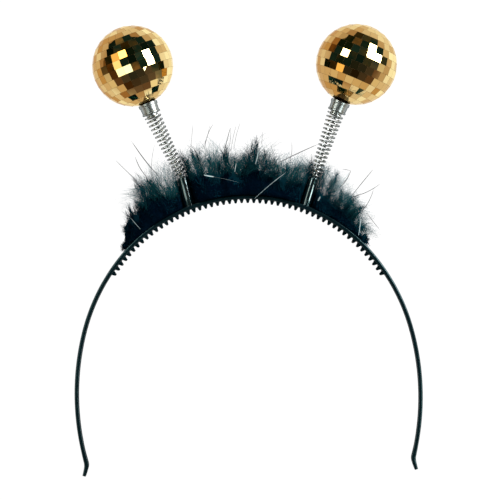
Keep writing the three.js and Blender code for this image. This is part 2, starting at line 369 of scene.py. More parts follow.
bpy.context.scene.view_settings.view_transform = "Standard"
makeCamera()
makeTable()
makeRoom()
makeBoxes()
print("camera and studio set")

# Finishes: a cloud of two shades, a roughness that varies in a finer grain and, on some, an orange peel.
finishes = dict(  # noises by scale per metre and detail, bumps by strength and depth in metres
    plastic=dict(  # black injection moulding, faintly teal
        fixed={"Specular Tint": (0.5, 0.95, 1.0, 1), "Coat IOR": 1.8},
        shades=((0.0009, 0.0050, 0.0075), (0.0025, 0.0110, 0.0150)),
        cloud=(180, 3),
        grain=(420, 4),
        roughSpread=0.12,
        peel=(900, 2),
        peelBump=(0.08, 0.0002),
    ),
    steel=dict(
        fixed={"Metallic": 1.0, "Specular Tint": (0.02, 0.02, 0.02, 1)},
        shades=((0.44, 0.47, 0.47), (0.62, 0.65, 0.65)),
        cloud=(500, 3),
        grain=(1400, 3),
        rough=0.14,
        roughSpread=0.10,
    ),
    silver=dict(
        fixed={"Metallic": 1.0, "Specular Tint": (0.12, 0.13, 0.13, 1)},
        shades=((0.30, 0.33, 0.33), (0.43, 0.46, 0.46)),
        cloud=(350, 3),
        grain=(700, 4),
        rough=0.27,
        roughSpread=0.12,
        peel=(1200, 2),
        peelBump=(0.10, 0.0002),
    ),
    bed=dict(  # the dark gold glue between the tiles
        fixed={"Metallic": 0.6},
        shades=((0.05, 0.03, 0.01), (0.16, 0.09, 0.025)),
        cloud=(800, 3),
        grain=(1500, 3),
        rough=0.45,
        roughSpread=0.3,
    ),
    mirror=dict(
        fixed={"Metallic": 1.0, "Roughness": 0.004, "Specular Tint": (0.97, 0.88, 0.72, 1)},
        shades=((0.47, 0.22, 0.042), (0.97, 0.81, 0.39)),
        ripple=(300, 1),
        rippleBump=(0.02, 0.0004),
    ),
)


def mottled(name, look):
    material, shader, wire = newMaterial(name, look["fixed"])
    wire.plug(shader.inputs["Base Color"], wire.noise(*look["cloud"]).between(*look["shades"]))
    wire.plug(shader.inputs["Roughness"], look["rough"] + look["roughSpread"] * wire.noise(*look["grain"]))
    if "peel" in look:
        wire.plug(shader.inputs["Normal"], wire.bump(wire.noise(*look["peel"]), *look["peelBump"]))
    return material


def moulding(name, sheen, rough, coat=0.0):
    look = dict(finishes["plastic"], rough=rough)
    look["fixed"] = {**look["fixed"], "Specular IOR Level": sheen, "Coat Weight": coat}
    return mottled(name, look)


def goldMirror():  # each tile has its own tone, partly random and partly painted light (paler on tiles facing +X, more orange on those facing -X), and its film ripples a little
    look = finishes["mirror"]
    material, shader, wire = newMaterial("gold_mirror", look["fixed"])
    shade = wire.node("ShaderNodeAttribute", {"attribute_name": "tileShade"}, out=2)
    wire.plug(shader.inputs["Base Color"], shade.between(*look["shades"]))
    wire.plug(shader.inputs["Normal"], wire.bump(wire.noise(*look["ripple"]), *look["rippleBump"]))
    return material


# Hair band: a crowned strip with a row of comb teeth moulded into its inner face.
def bandStation(distances):  # middles and outward ways, in hoop millimetres
    left = np.abs(distances)
    side = np.where(np.asarray(distances) < 0, -1.0, 1.0)
    heading, x, y = np.zeros_like(left), np.zeros_like(left), np.zeros_like(left)
    for radius, length in (band[name] for name in ("crown", "shoulder", "leg", "kink", "tip")):
        walked = np.minimum(left, length)
        turned = heading + walked / radius
        x += radius * (np.sin(turned) - np.sin(heading))
        y += radius * (np.cos(turned) - np.cos(heading))
        heading, left = turned, left - walked
    middle = np.stack([side * x, y, np.zeros_like(x)], -1)
    outward = np.stack([side * np.sin(heading), np.cos(heading), np.zeros_like(x)], -1)
    return middle, outward


def bandOutline():  # across and rise as parts of the half width and the thickness, and where teeth grow
    begin, end = band["toothReach"]
    flat, edgeRise, sideRise = band["flat"], band["edgeRise"], band["sideRise"]
    inside = [(-flat, 0), (-end, 0), (-begin, 1), (-begin / 2, 1), (0.0, 1)]
    inside += [(-across, grows) for across, grows in inside[3::-1]]
    edge = [(flat + (1 - flat) * math.sin(t), edgeRise - 0.5 - edgeRise * math.cos(t), 0)
            for t in np.radians(band["edgeTurns"])]
    rows = [(across, -0.5, grows) for across, grows in inside] + edge
    for t in np.radians(np.linspace(90, -90, band["crownPoints"])):
        rows.append((math.sin(t), sideRise + (0.5 - sideRise) * abs(math.cos(t)) ** band["crownPower"], 0))
    rows += [(-across, rise, grows) for across, rise, grows in edge[::-1]]
    return np.array(rows)


def makeBand():
    arm = sum(band[name][1] for name in ("crown", "shoulder", "leg"))
    half = arm + band["kink"][1] + band["tip"][1]
    toothed = band["teeth"] * band["toothPitch"] / 2
    rowMiddle = band["toothMiddle"]
    places = np.array(band["toothPlaces"])
    phase = np.concatenate([[-0.5], -places[::-1], places])
    numbers = np.arange(band["teeth"]) - (band["teeth"] - 1) / 2
    combed = (rowMiddle + (numbers[:, None] + phase) * band["toothPitch"]).ravel()
    upper = np.arange(toothed + 2 * rowMiddle, arm, band["legStep"])
    leg = np.concatenate([upper, np.arange(arm, half, band["kinkStep"]), [half]])
    distances = np.concatenate([-leg, [rowMiddle - toothed], combed, [rowMiddle + toothed], leg])
    distances = np.unique(np.round(distances, 4))

    middle, outward = bandStation(distances)
    width = np.interp(np.abs(distances), band["along"], band["width"])
    thickness = np.interp(np.abs(distances), band["along"], band["thickness"])
    firstTooth = rowMiddle + numbers[0] * band["toothPitch"]
    place = np.abs(((distances - firstTooth) / band["toothPitch"] + 0.5) % 1 - 0.5)  # 0 at a tooth's middle
    slope = np.clip((place - band["toothTip"]) / (band["toothRoot"] - band["toothTip"]), 0, 1)
    tooth = (0.5 + 0.5 * np.cos(np.pi * slope)) * band["toothLength"]
    tooth = tooth * (np.abs(distances - rowMiddle) < toothed)

    across, rise, grows = bandOutline().T
    reach = rise * thickness[:, None] - grows * tooth[:, None]
    points = middle[:, None] + outward[:, None] * reach[..., None]
    points[..., 2] = across * width[:, None] / 2
    rows, columns = reach.shape
    gloss = moulding("black_moulding", **band["gloss"])
    points = toFrame(points.reshape(-1, 3))
    piece = newPiece("hair_band", points, closedFaces(rows, columns), gloss, band["smooth"])
    piece.data.materials.append(moulding("matt_moulding", **band["matt"]))
    inside = np.tile(np.arange(columns) < band["insideColumns"], rows - 1)  # matt against the hair
    matt = np.concatenate([inside, np.zeros(2, bool)]).astype(np.int32)
    piece.data.polygons.foreach_set("material_index", matt)
    settle(piece, "headband", "black_plastic", "headband")
    print("hair band:", len(piece.data.polygons), "faces")


makeBand()

# Stalks: a peg, a spring, a ferrule and a ball on each side, in mm.
gap = 0.3  # between pieces that meet
peg = dict(
    radius=2.05,
    topShare=0.97,  # of the radius, at the top
    length=11.0,
    lean=dict(left=-13.2, right=18.0),
    nibRadius=1.0,
    nibLength=1.3,
    edge=0.45,
    sunk=1.0,  # into the band
    segments=64,
    gloss=dict(sheen=1.0, rough=0.10, coat=1.0),
)
spring = dict(wire=0.66, footRadius=1.9, topRadius=3.1, turns=15.5, stepsPerTurn=36, sides=10, smooth=60)
cap = dict(
    height=4.1,
    bottom=3.45,  # radii
    top=3.9,
    rim=0.3,
    rimHeight=0.8,
    bevel=0.12,
    collar=0.3,  # how far it stands out
    collarFalls=(1.1, 0.8, 0.7),  # below the top, where the side ends and the collar begins and is full
    lip=(0.35, 0.12, 0.05),  # the collar's upper edge: its width, and its fall inside and outside
    nib=2.3,
    nibLength=1.8,
    edge=0.14,
    segments=72,
)
ball = dict(
    radius=16.25,
    rows=16,
    tilesRound=31,
    fewestTiles=3,  # in a row
    poleGap=0.02,  # radians left open at the poles
    gap=0.03,  # between tiles
    thickness=0.7,
    chamfer=0.02,
    tilt=1.2,  # degrees a tile may lie out of true
    rowTilt=1.5,  # degrees a whole row may
    bulge=0.05,  # how far a tile's mirror follows the ball's curve, from flat to round
    capRows=dict(left=-9.0, right=10.0),  # degrees the rows near the cap lean towards it
    capRowStart=10,
    bed=15.75,
    bedRows=33,
    bedSegments=48,
    shadeMiddle=0.42,  # of the way from the orange to the pale gold
    # painted light: how much paler the tiles facing +X are painted, and how much more orange those facing -X,
    # standing in for brighter light on that side
    paintedSideLight=0.42,
    shadeSpread=0.28,
    seeds=dict(left=2701, right=1195),
)


def standing(way):  # axes of a round piece that stands along a way in the hoop's plane
    return dict(along=way, across=np.cross(way, hoopFront), front=hoopFront)


def stalkFrame(side):  # where the pieces of one stalk stand, mostly from its two joints
    low, high = (np.array(joints[f"{side}_{name}"]["pos_m"]) for name in ("sway", "nod"))
    springWay = unit(high - low)
    quarter = np.linalg.norm(high - low) / 2
    springFoot, springTop = low - springWay * quarter, high + springWay * quarter
    centre = np.mean([list(corner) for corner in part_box(f"{side}_ball")], axis=0)
    ballWay = unit(centre - springTop)
    lean = math.radians(peg["lean"][side])
    pegWay = hoopRight * math.sin(lean) + hoopUp * math.cos(lean)
    tipped = (spring["footRadius"] + spring["wire"] / 2) * np.linalg.norm(np.cross(pegWay, springWay))
    pegTop = springFoot - springWay * (gap + tipped) * mm
    return dict(
        peg=standing(pegWay),
        spring=standing(springWay),
        ball=standing(ballWay),
        pegFoot=pegTop - pegWay * peg["length"] * mm,
        springFoot=springFoot,
        springMiddle=(low + high) / 2,
        springTop=springTop,
        springLength=4 * quarter,
        capFoot=centre - ballWay * (ball["radius"] + gap + cap["height"]) * mm,
        centre=centre,
    )


stalks = {side: stalkFrame(side) for side in sides}


# Pegs: glossy posts on the crown, with a nib inside the spring.
def makePegs():
    top, tip = peg["length"], peg["length"] + peg["nibLength"]
    outline = [
        (0, -peg["sunk"]), (peg["radius"], -peg["sunk"]), (peg["radius"] * peg["topShare"], top),
        (peg["nibRadius"], top), (peg["nibRadius"], tip), (0, tip),
    ]
    outline = roundCorners(outline, peg["edge"])
    gloss = moulding("lacquered_post", **peg["gloss"])
    for side, stalk in stalks.items():
        piece = lathePiece(f"{side}_post", outline, peg["segments"], stalk["pegFoot"], stalk["peg"], gloss)
        settle(piece, "headband", "black_plastic", f"{side}_peg")
    print("pegs made")


# Springs: one wire each, in a lower and an upper half.
def springLine(stalk, share):  # the wire's middle at shares of the spring's length
    turn = 2 * np.pi * spring["turns"] * share
    radius = (spring["footRadius"] + (spring["topRadius"] - spring["footRadius"]) * share) * mm
    half = spring["wire"] / 2 * mm
    height = half + (stalk["springLength"] - 2 * half) * share
    axes = stalk["spring"]
    line = stalk["springFoot"] + height[:, None] * axes["along"]
    line = line + (radius * np.cos(turn))[:, None] * axes["across"]
    return line + (radius * np.sin(turn))[:, None] * axes["front"]


def tube(line, radius, sideCount, guide):  # rings square to a line, turned by a guide direction
    tangent = unit(np.gradient(line, axis=0))
    outward = unit(guide - (guide * tangent).sum(-1, keepdims=True) * tangent)
    upward = np.cross(tangent, outward)
    turn = np.linspace(0, 2 * np.pi, sideCount, endpoint=False)
    ring = np.cos(turn)[:, None] * outward[:, None] + np.sin(turn)[:, None] * upward[:, None]
    return line[:, None] + ring * radius


def makeSprings():
    steel = mottled("spring_steel", finishes["steel"])
    steps = int(spring["turns"] * spring["stepsPerTurn"])
    share = np.linspace(0, 1, steps + 1)
    cut = steps // 2
    for side, stalk in stalks.items():
        line = springLine(stalk, share)
        rings = tube(line, spring["wire"] / 2 * mm, spring["sides"], stalk["spring"]["along"])
        foot, middle, top = (stalk[name] for name in ("springFoot", "springMiddle", "springTop"))
        halves = dict(
            lower=(rings[:cut + 1], "headband", f"{side}_spring", foot, middle),
            upper=(rings[cut:], f"{side}_spring", f"{side}_bobber", middle, top),
        )
        for half, (part, bodyA, bodyB, start, end) in halves.items():
            faces = closedFaces(len(part), spring["sides"])
            piece = newPiece(f"{side}_spring_{half}", part.reshape(-1, 3), faces, steel, spring["smooth"])
            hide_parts(f"{side}_spring")
            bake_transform(piece)
    print("springs wound")


# Caps: plated ferrules between the springs and the balls, dished to take the ball.
def makeCaps():
    plate = mottled("silver_plate", finishes["silver"])
    low, rim = cap["bottom"], cap["bottom"] + cap["rim"]
    wide, neck = cap["top"], cap["top"] - cap["collar"]
    dish = ball["radius"] - math.sqrt(ball["radius"] ** 2 - wide**2)
    high, lipTop = cap["height"], cap["height"] + dish
    sideEnd, collarStart, collarFull = (high - fall for fall in cap["collarFalls"])
    lipWidth, lipInside, lipOutside = cap["lip"]
    outline = [
        (0, -cap["nibLength"]), (cap["nib"], -cap["nibLength"]), (cap["nib"], 0), (low, 0),
        (rim, cap["bevel"]), (rim, cap["rimHeight"] - cap["bevel"]), (low, cap["rimHeight"]),
        (neck, sideEnd), (neck, collarStart), (wide, collarFull),
        (wide, lipTop - lipOutside), (wide - lipWidth, lipTop - lipInside), (0, high),
    ]
    outline = roundCorners(outline, cap["edge"])
    for side, stalk in stalks.items():
        foot, axes = stalk["capFoot"], stalk["ball"]
        piece = lathePiece(f"{side}_ferrule", outline, cap["segments"], foot, axes, plate)
        settle(piece, f"{side}_bobber", "silver_cap", f"{side}_cap")
    print("caps turned")


# Mirror balls: rows of flat tiles on a dark bed, each a little out of true.
def onUnitBall(polar, around):
    return math.sin(polar) * math.cos(around), math.sin(polar) * math.sin(around), math.cos(polar)


def tileCorners(rng):  # unit corners of every tile and its row, from the far pole to the cap
    tiles, rows = [], []
    step = math.pi / ball["rows"]
    for row in range(ball["rows"]):
        count = max(ball["fewestTiles"], round(ball["tilesRound"] * math.sin((row + 0.5) * step)))
        start = rng.uniform(0, 2 * math.pi)
        near, far = np.clip([row * step, (row + 1) * step], ball["poleGap"], math.pi - ball["poleGap"])
        turn = start + 2 * math.pi * np.arange(count + 1) / count
        for first, second in zip(turn, turn[1:]):
            places = ((far, first), (far, second), (near, second), (near, first))
            tiles.append([onUnitBall(*place) for place in places])
            rows.append(row)
    return np.array(tiles), np.array(rows)


# For every tile: three rings of four points, the way its mirror faces, and how its corners turn from that.
def tileLayers(side, rng):
    corner, row = tileCorners(rng)
    corner = corner * ball["radius"]
    middle = corner.mean(1, keepdims=True)
    normal = unit(middle)
    inward = unit(middle - corner)
    edge = corner + inward * ball["gap"] / 2 * math.sqrt(2)
    face = edge + inward * ball["chamfer"] * math.sqrt(2)
    slant = rng.normal(0, math.radians(ball["tilt"]), (len(corner), 3))
    lean = rng.normal(0, math.radians(ball["rowTilt"]), ball["rows"])
    lean[ball["capRowStart"]:] += math.radians(ball["capRows"][side])
    slant[:, 2] -= lean[row]  # along the stalk
    layers = [outline - normal * depth for outline, depth in
              ((face, 0.0), (edge, ball["chamfer"]), (edge, ball["thickness"]))]
    return np.stack(layers, 1), unit(normal[:, 0] + slant), ball["bulge"] * (unit(corner) - normal)


def makeBalls():
    mirror, bed = goldMirror(), mottled("tile_bed", finishes["bed"])
    local = np.array([[0, 1, 2, 3], [11, 10, 9, 8]])  # a tile's face and back, then its sides
    for low, high in ((4, 0), (8, 4)):
        ringed = [[low + k, low + (k + 1) % 4, high + (k + 1) % 4, high + k] for k in range(4)]
        local = np.concatenate([local, ringed])
    arc = np.linspace(-np.pi / 2, np.pi / 2, ball["bedRows"])
    bedOutline = np.stack([np.cos(arc), np.sin(arc)], -1) * ball["bed"]
    bedOutline[[0, -1], 0] = 0
    for side, stalk in stalks.items():
        rng = np.random.default_rng(ball["seeds"][side])
        layers, facing, bulge = tileLayers(side, rng)
        tiles, rings, corners = layers.shape[:3]
        faces = (np.arange(tiles)[:, None, None] * rings * corners + local).reshape(-1, 4)
        axes = np.array([stalk["ball"][name] for name in ("across", "front", "along")])
        if np.linalg.det(axes) < 0:
            faces, bulge = faces[:, ::-1], bulge[:, ::-1]
        points = stalk["centre"] + layers.reshape(-1, 3) @ axes * mm
        piece = newPiece(f"{side}_mirror_tiles", points, [faces], mirror)
        piece.data.materials.append(bed)
        sheet = np.tile(np.arange(len(local)) > 0, tiles).astype(np.int32)  # only the face is mirrored
        piece.data.polygons.foreach_set("material_index", sheet)
        # painted light: the tone leans paler on tiles facing +X and more orange on those facing -X, then varies at
        # random
        shade = ball["shadeMiddle"] + ball["paintedSideLight"] * (facing @ axes)[:, 0]
        shade = np.clip(shade + rng.normal(0, ball["shadeSpread"], tiles), 0, 1)
        shade = np.repeat(shade, len(local)).astype(np.float32)
        piece.data.attributes.new("tileShade", "FLOAT", "FACE").data.foreach_set("value", shade)
        normals = np.empty(len(faces) * 3, np.float32)
        piece.data.polygons.foreach_get("normal", normals)
        normals = np.repeat(normals.reshape(tiles, len(local), 1, 3), corners, axis=2)
        normals[:, 0] = unit(facing[:, None] + bulge) @ axes
        piece.data.normals_split_custom_set(normals.reshape(-1, 3))
        settle(piece, f"{side}_bobber", "gold_mirror", f"{side}_ball")

        centre, segments = stalk["centre"], ball["bedSegments"]
        core = lathePiece(f"{side}_tile_bed", bedOutline, segments, centre, stalk["ball"], bed)
        settle(core, f"{side}_bobber", "gold_mirror")
        print(side, "ball:", tiles, "tiles")


makePegs()
makeSprings()
makeCaps()
makeBalls()

# Marabou trim: tufts of plumes with fine curled down, thinner wisps above them and a few loose filaments.
marabou = dict(
    tuftAngle=(  # on the crown, in degrees
        -46, -42, -37.5, -34, -31, -28, -24.5, -21, -16.5, -13.5, -10, -7.5, -5.2, -2,
        0.8, 2.9, 6, 9, 12.5, 16, 19.5, 23.5, 27.5, 31, 34, 37.5, 41, 45.5,
    ),
    tuftHeight=(  # in mm
        2.6, 7, 11, 12, 20.5, 17.5, 10, 10.5, 21.5, 22, 17, 16, 20.5, 16.5,
        18, 23.5, 18, 15.5, 13, 16, 18.5, 19, 17.5, 12, 13, 11, 5.5, 3.3,
    ),
    tuftTone=(  # from dark to pale
        0.05, 0.05, 0.1, 0.1, 0.1, 0.2, 0.4, 0.4, 0.35, 0.15, 0.75, 0.5, 0.1, 0.5,
        0.3, 0.0, 0.2, 0.3, 0.75, 0.6, 0.4, 0.75, 0.75, 0.6, 0.5, 0.25, 0.35, 0.2,
    ),
    toneSpread=0.34,
    tuftSpread=2.4,  # degrees its roots stand apart
    tipSpread=0.3,  # of that, its tips
    plumes=12,  # in a tuft
    plumeShare=(0.40, 1.0),  # of the tuft's height
    plumePower=0.8,  # below 1 for more tall ones
    plumeBend=(0.6, 0.25),  # how far up and out a plume bends
    clearTop=0.6,  # left free at the tuft's top
    leastPlume=1.0,
    rootHeight=0.2,
    rootReach=3.2,  # across the band
    tipReach=0.55,  # of its height that a tuft spreads to the front and to the back
    mostReach=9.0,
    barbs=50,  # on a plume
    barbPlace=(0.02, 1.0),  # along it
    barbSplay=(50, 36, 8),  # degrees off the plume at its foot, how many fewer at its tip, their spread
    barbLength=(3.5, 7.0),
    barbTaper=0.35,  # how much shorter at the plume's tip
    barbSteps=5,
    barbWidth=(0.060, 0.018),  # radius at the root and near the tip
    fullTuft=10.0,  # height from which barbs are as long as that
    leastBarb=0.45,  # of that length, on lower tufts
    curl=(0.15, 0.6),
    wave=0.07,  # of a barb's length
    beats=(0.6, 1.4),  # of the wave along it
    floor=0.35,
    clearBand=0.08,
    clearSpring=0.6,  # round the middle of the wire
    springTaper=1.2,  # how far beside that room the strands still draw back
    thinAngle=(-46, 12, 24, 46),  # on the crown, and how thick strands are there
    thin=(1.0, 1.0, 0.72, 0.72),
    smooth=80,
    pieces=3,
    seed=8,
)
down = dict(  # the dense underlayer, and the strands that stand on it
    beyond=1,  # degrees past the first and the last tuft
    shareAngle=(-47, -42, -38, -33, 12, 24, 46),  # on the crown, and the underlayer's shares there
    share=(0.50, 0.75, 0.75, 0.50, 0.50, 0.36, 0.36),  # of the tufts' height
    sideShare=(0.40, 0.45, 0.48, 0.50, 0.50, 0.36, 0.36),  # of the reach to the front and back
    crest=(0, 3, 6, 11, 15, 20),  # tuft heights in mm, and the reach to the front and back at each
    reach=(3.4, 4.6, 6.8, 8.8, 10.0, 10.8),
    squareness=0.75,
    foot=-0.10,
    ringStep=0.6,  # degrees
    ringPoints=27,
    smooth=180,
    lump=0.10,
    waves=9,  # that make the lumps, and how fast they run round the crown and over it
    waveRound=0.55,
    waveOver=2.2,
    pegRoom=2.15,
    pegTaper=2.4,  # how far beside that room the trim still draws back
    pegStart=-2,  # up the peg
    locks=720,
    each=16,  # strands in a lock
    rim=0.03,  # radians free of locks at the underlayer's edges, and of their strands
    ownRim=0.02,
    probe=(0.3, 0.03),  # degrees round the crown and radians over it, to find the way a lock faces
    begin=(0.8, 0.7, 0.30),  # how far a lock sets out square to the layer, upwards and astray
    end=(0.25, 0.9, 0.40),  # and how far it ends so
    spread=(0.9, 0.10),  # of its strands' roots, measured as in probe
    length=(4.0, 8.5),
    ownLength=(0.6, 1.05),  # of its lock's
    fullTuft=12.0,  # height from which locks are as long as that
    leastLength=0.35,
    closing=0.8,  # how far a lock's strands meet
    sunk=0.4,
    sweep=0.5,
    wave=0.06,  # of a strand's length
    steps=5,
    width=(0.080, 0.022),
    pieces=3,
    seed=12,
)
wisps = dict(
    angle=(-34, -28, -21, -13.5, -5.2, -2, 0.8, 2.9, 7, 12, 16, 24, 30, 38, 45),  # on the crown
    top=(18, 25, 25, 27, 27, 19, 18, 27, 23, 20, 23, 22, 19, 14, 7),  # in mm
    ends=(-34, 44),  # degrees on the crown
    bundles=1150,
    each=5,
    share=(0.3, 1.0),  # of the top that a bundle reaches, and of that a strand
    ownShare=(0.75, 1.0),
    drift=(2.6, 0.9),  # degrees a bundle and a strand lean
    driftPower=1.5,
    bend=1.0,
    rootShare=(0.4, 0.8),  # of the tufts' height
    rootSpread=0.8,
    leastLength=3,
    reach=0.5,  # of the tufts' height, to the front and to the back
    mostTall=12,
    fanOut=0.4,
    steps=7,
    width=(0.043, 0.017),
    seed=31,
)
filaments = dict(  # loose strands: angle and height of both ends, how far to the front, radius
    dark=(
        ((-24.8, 15.3), (-26.9, 33.0), 4.0, 0.19),
        ((-27.8, 17.0), (-27.9, 27.0), 2.0, 0.17),
        ((-30.7, 18.4), (-32.5, 30.0), 0.0, 0.10),
        ((10.1, 13.6), (19.4, 24.6), 6.5, 0.17),
        ((33.6, 12.0), (34.6, 25.3), 2.0, 0.14),
        ((33.7, 10.9), (38.2, 22.0), 5.0, 0.14),
        ((-5.6, 16.6), (-3.1, 27.3), 1.0, 0.14),
        ((-10.5, 20.0), (-7.2, 29.5), -1.0, 0.11),
        ((38.8, 8.5), (37.6, 18.8), 3.0, 0.13),
        ((40.3, 9.5), (46.9, 8.0), 2.0, 0.11),
        ((-13.8, 22.0), (-11.9, 31.0), 0.0, 0.075),
        ((-11.7, 19.0), (-7.9, 29.5), 2.0, 0.075),
        ((-4.4, 17.5), (-3.1, 27.4), -2.0, 0.075),
        ((-3.6, 17.0), (-1.6, 28.3), 0.0, 0.075),
        ((-2.7, 18.0), (-0.6, 29.1), 2.0, 0.075),
        ((-27.4, 14.0), (-22.3, 28.1), -3.6, 0.075),
        ((13.1, 14.0), (12.5, 23.1), 0.0, 0.075),
        ((4.7, 20.0), (4.7, 25.8), 1.0, 0.075),
        ((27.6, 19.0), (29.8, 20.0), 1.0, 0.10),
        ((29.8, 20.0), (29.2, 11.3), 1.0, 0.17),
    ),
    # painted highlight in part: these strands' pale colour is partly their own and partly stands in for glints of
    # light on glossy filaments over the dark down
    pale=(
        ((3.6, -1.6), (13.1, 10.8), 8.5, 0.12),
        ((28.9, 9.6), (29.7, 19.9), 4.0, 0.10),
        ((-12.2, 9.6), (-9.2, 8.0), 9.5, 0.30),
        ((-9.2, 8.0), (-1.5, 4.6), 9.0, 0.04),
        ((3.4, 12.0), (4.1, 17.5), 9.0, 0.20),
        ((42.8, 0.4), (39.8, 5.9), 7.5, 0.16),
        ((-38.3, 1.5), (-38.4, 7.8), 7.5, 0.10),
        ((-2.8, 9.0), (-2.2, 12.5), 9.0, 0.16),
        ((25.0, 3.2), (25.1, 5.2), 8.0, 0.28),
    ),
    bow=dict(dark=0.06, pale=0.02),  # of the length
    swell=(0.35, 0.12, 0.82),  # least part of the radius, and the stretch of a half wave that it follows
    tone=(0.2, 1.0),
    steps=9,
    seed=4,
)
plumage = dict(  # shades from dark to pale, and the shine
    down=dict(shades=((0.0003, 0.0040, 0.0110), (0.009, 0.100, 0.155)), sheen=0.0),
    wisps=dict(shades=((0.006, 0.050, 0.062), (0.030, 0.190, 0.225)), sheen=0.0),
    dark=dict(shades=((0.004, 0.006, 0.007), (0.012, 0.016, 0.018)), sheen=0.5),
    # painted highlight in part: the pale strands' colour also stands in for glints of light on them
    pale=dict(shades=((0.27, 0.37, 0.40), (0.64, 0.82, 0.88)), sheen=0.5),
    rootTone=0.32,  # of a strand's own tone, at its root
    rough=0.42,  # at the root, and how much more at the tip
    roughGain=0.2,
    under=dict(  # noises and bump as in the finishes
        shades=((0.0002, 0.0025, 0.0078), (0.002, 0.014, 0.028)),
        sheen=0.0,
        cloud=(420, 4, 0.6),
        cloudPower=3,
        rough=0.8,
        roughSpread=0.15,
        fuzz=(1500, 3),
        fuzzBump=(0.6, 0.0008),
    ),
)
strandMap = dict(tone=(0.01, 0.96), around=0.012, along=(0.02, 0.96))  # starts and spans in the map


def onCrown(angle, height, front):  # hoop millimetres above the crown's outer face
    radius = band["crown"][0] + band["thickness"][0] / 2 + np.asarray(height, float)
    angle = np.radians(angle)
    front = np.broadcast_to(np.asarray(front, float), radius.shape)
    return np.stack([radius * np.sin(angle), radius * np.cos(angle) - band["crown"][0], front], -1)


def crownHeight(points):  # the other way: how far hoop points stand above the outer face
    x, y = points[..., 0], points[..., 1] + band["crown"][0]
    return np.hypot(x, y) - band["crown"][0] - band["thickness"][0] / 2


def tuftHeight(angle):
    return np.interp(angle, marabou["tuftAngle"], marabou["tuftHeight"])


def sideways(way, rng):  # a random unit vector square to each way
    other = rng.normal(size=way.shape)
    return unit(other - (other * way).sum(-1, keepdims=True) * way)


def toned(angle, rng):  # each strand's own tone, about its tuft's
    tone = np.interp(angle, marabou["tuftAngle"], marabou["tuftTone"])
    return np.clip(tone + rng.normal(0, marabou["toneSpread"], len(tone)), 0, 1)


def barbLines(rng):  # the middle line of every barb, in hoop millimetres, and its plume's tone
    tip = np.repeat(marabou["tuftAngle"], marabou["plumes"])
    tall = np.repeat(marabou["tuftHeight"], marabou["plumes"])
    plumes = len(tip)
    root = tip + rng.uniform(-1, 1, plumes) * marabou["tuftSpread"]
    tip = tip + rng.normal(0, marabou["tipSpread"], plumes) * marabou["tuftSpread"]
    height = np.maximum(marabou["leastPlume"], tall - marabou["clearTop"])
    height = height * rng.uniform(*marabou["plumeShare"], plumes) ** marabou["plumePower"]
    front = rng.uniform(-1, 1, plumes) * np.minimum(tall * marabou["tipReach"], marabou["mostReach"])
    across = rng.uniform(-1, 1, plumes) * marabou["rootReach"]
    bendUp, bendOut = marabou["plumeBend"]
    start = onCrown(root, np.full(plumes, marabou["rootHeight"]), across)
    middle = onCrown(root, height * bendUp, across + (front - across) * bendOut)
    end = onCrown(tip, height, front)

    count = marabou["barbs"]
    t = rng.uniform(*marabou["barbPlace"], (plumes, count, 1))
    base = curve(t, start[:, None], middle[:, None], end[:, None])
    tangent = unit((1 - t) * (middle - start)[:, None] + t * (end - middle)[:, None])
    wide, closing, spread = marabou["barbSplay"]
    splay = np.radians(wide - closing * t + rng.normal(0, spread, t.shape))
    begin = tangent * np.cos(splay) + sideways(tangent, rng) * np.sin(splay)
    grown = np.clip(tall / marabou["fullTuft"], marabou["leastBarb"], 1.0)[:, None, None]
    reach = rng.uniform(*marabou["barbLength"], t.shape) * (1 - marabou["barbTaper"] * t) * grown
    u = np.linspace(0, 1, marabou["barbSteps"])[None, None, :, None]
    begin, tangent, base, reach = (part[:, :, None] for part in (begin, tangent, base, reach))
    each = (plumes, count, 1, 1)
    curl = rng.uniform(*marabou["curl"], each)
    line = base + reach * (begin * u + (tangent - begin) * curl * u**2)
    wave = sideways(begin[:, :, 0], rng)[:, :, None]
    phase = rng.uniform(0, 2 * np.pi, each)
    beat = rng.uniform(*marabou["beats"], each)
    line = line + wave * marabou["wave"] * reach * u * np.sin(2 * np.pi * beat * u + phase)
    return line.reshape(-1, marabou["barbSteps"], 3), np.repeat(toned(tip, rng), count)


def wispLines(rng):  # long thin strands in loose bundles that reach above the tufts
    bundles = wisps["bundles"]
    bundle = np.repeat(np.arange(bundles), wisps["each"])
    count = len(bundle)
    place = rng.uniform(*wisps["ends"], bundles)
    angle = place[bundle]
    share = rng.uniform(*wisps["share"], bundles)[bundle] * rng.uniform(*wisps["ownShare"], count)
    bundleDrift, ownDrift = wisps["drift"]
    drift = rng.normal(0, bundleDrift, bundles)[bundle] + rng.normal(0, ownDrift, count)
    tall = tuftHeight(angle)
    low = tall * rng.uniform(*wisps["rootShare"], count)
    top = np.interp(angle, wisps["angle"], wisps["top"]) * share
    top = np.maximum(top, low + wisps["leastLength"])
    angle = angle + rng.normal(0, wisps["rootSpread"], count)
    front = rng.uniform(-wisps["reach"], wisps["reach"], bundles)[bundle]
    front = front * np.minimum(tall, wisps["mostTall"])
    u = np.linspace(0, 1, wisps["steps"])
    height = low[:, None] + (top - low)[:, None] * u
    bend = rng.normal(0, wisps["bend"], count)[:, None] * np.sin(np.pi * u)
    leaning = angle[:, None] + drift[:, None] * u ** wisps["driftPower"] + bend
    line = onCrown(leaning, height, front[:, None] * (1 + wisps["fanOut"] * u))
    return line, toned(place, rng)[bundle]


# The dense layer's face: round the crown by angle, and from its front over to its back by turn.
def downSurface(angle, turn, wave):
    crest = tuftHeight(angle)
    lump = sum(np.sin(a * angle + b * turn + c) for a, b, c in wave) * down["lump"] / math.sqrt(len(wave))
    share = np.interp(angle, down["shareAngle"], down["share"]) * (1 + lump)
    sideShare = np.interp(angle, down["shareAngle"], down["sideShare"]) * (1 + lump)
    power = down["squareness"]
    across = np.sign(np.cos(turn)) * np.abs(np.cos(turn)) ** power
    across = across * np.interp(crest, down["crest"], down["reach"]) * sideShare
    rise = np.abs(np.sin(turn)) ** power * crest * share + down["foot"]
    return onCrown(angle, rise, across)


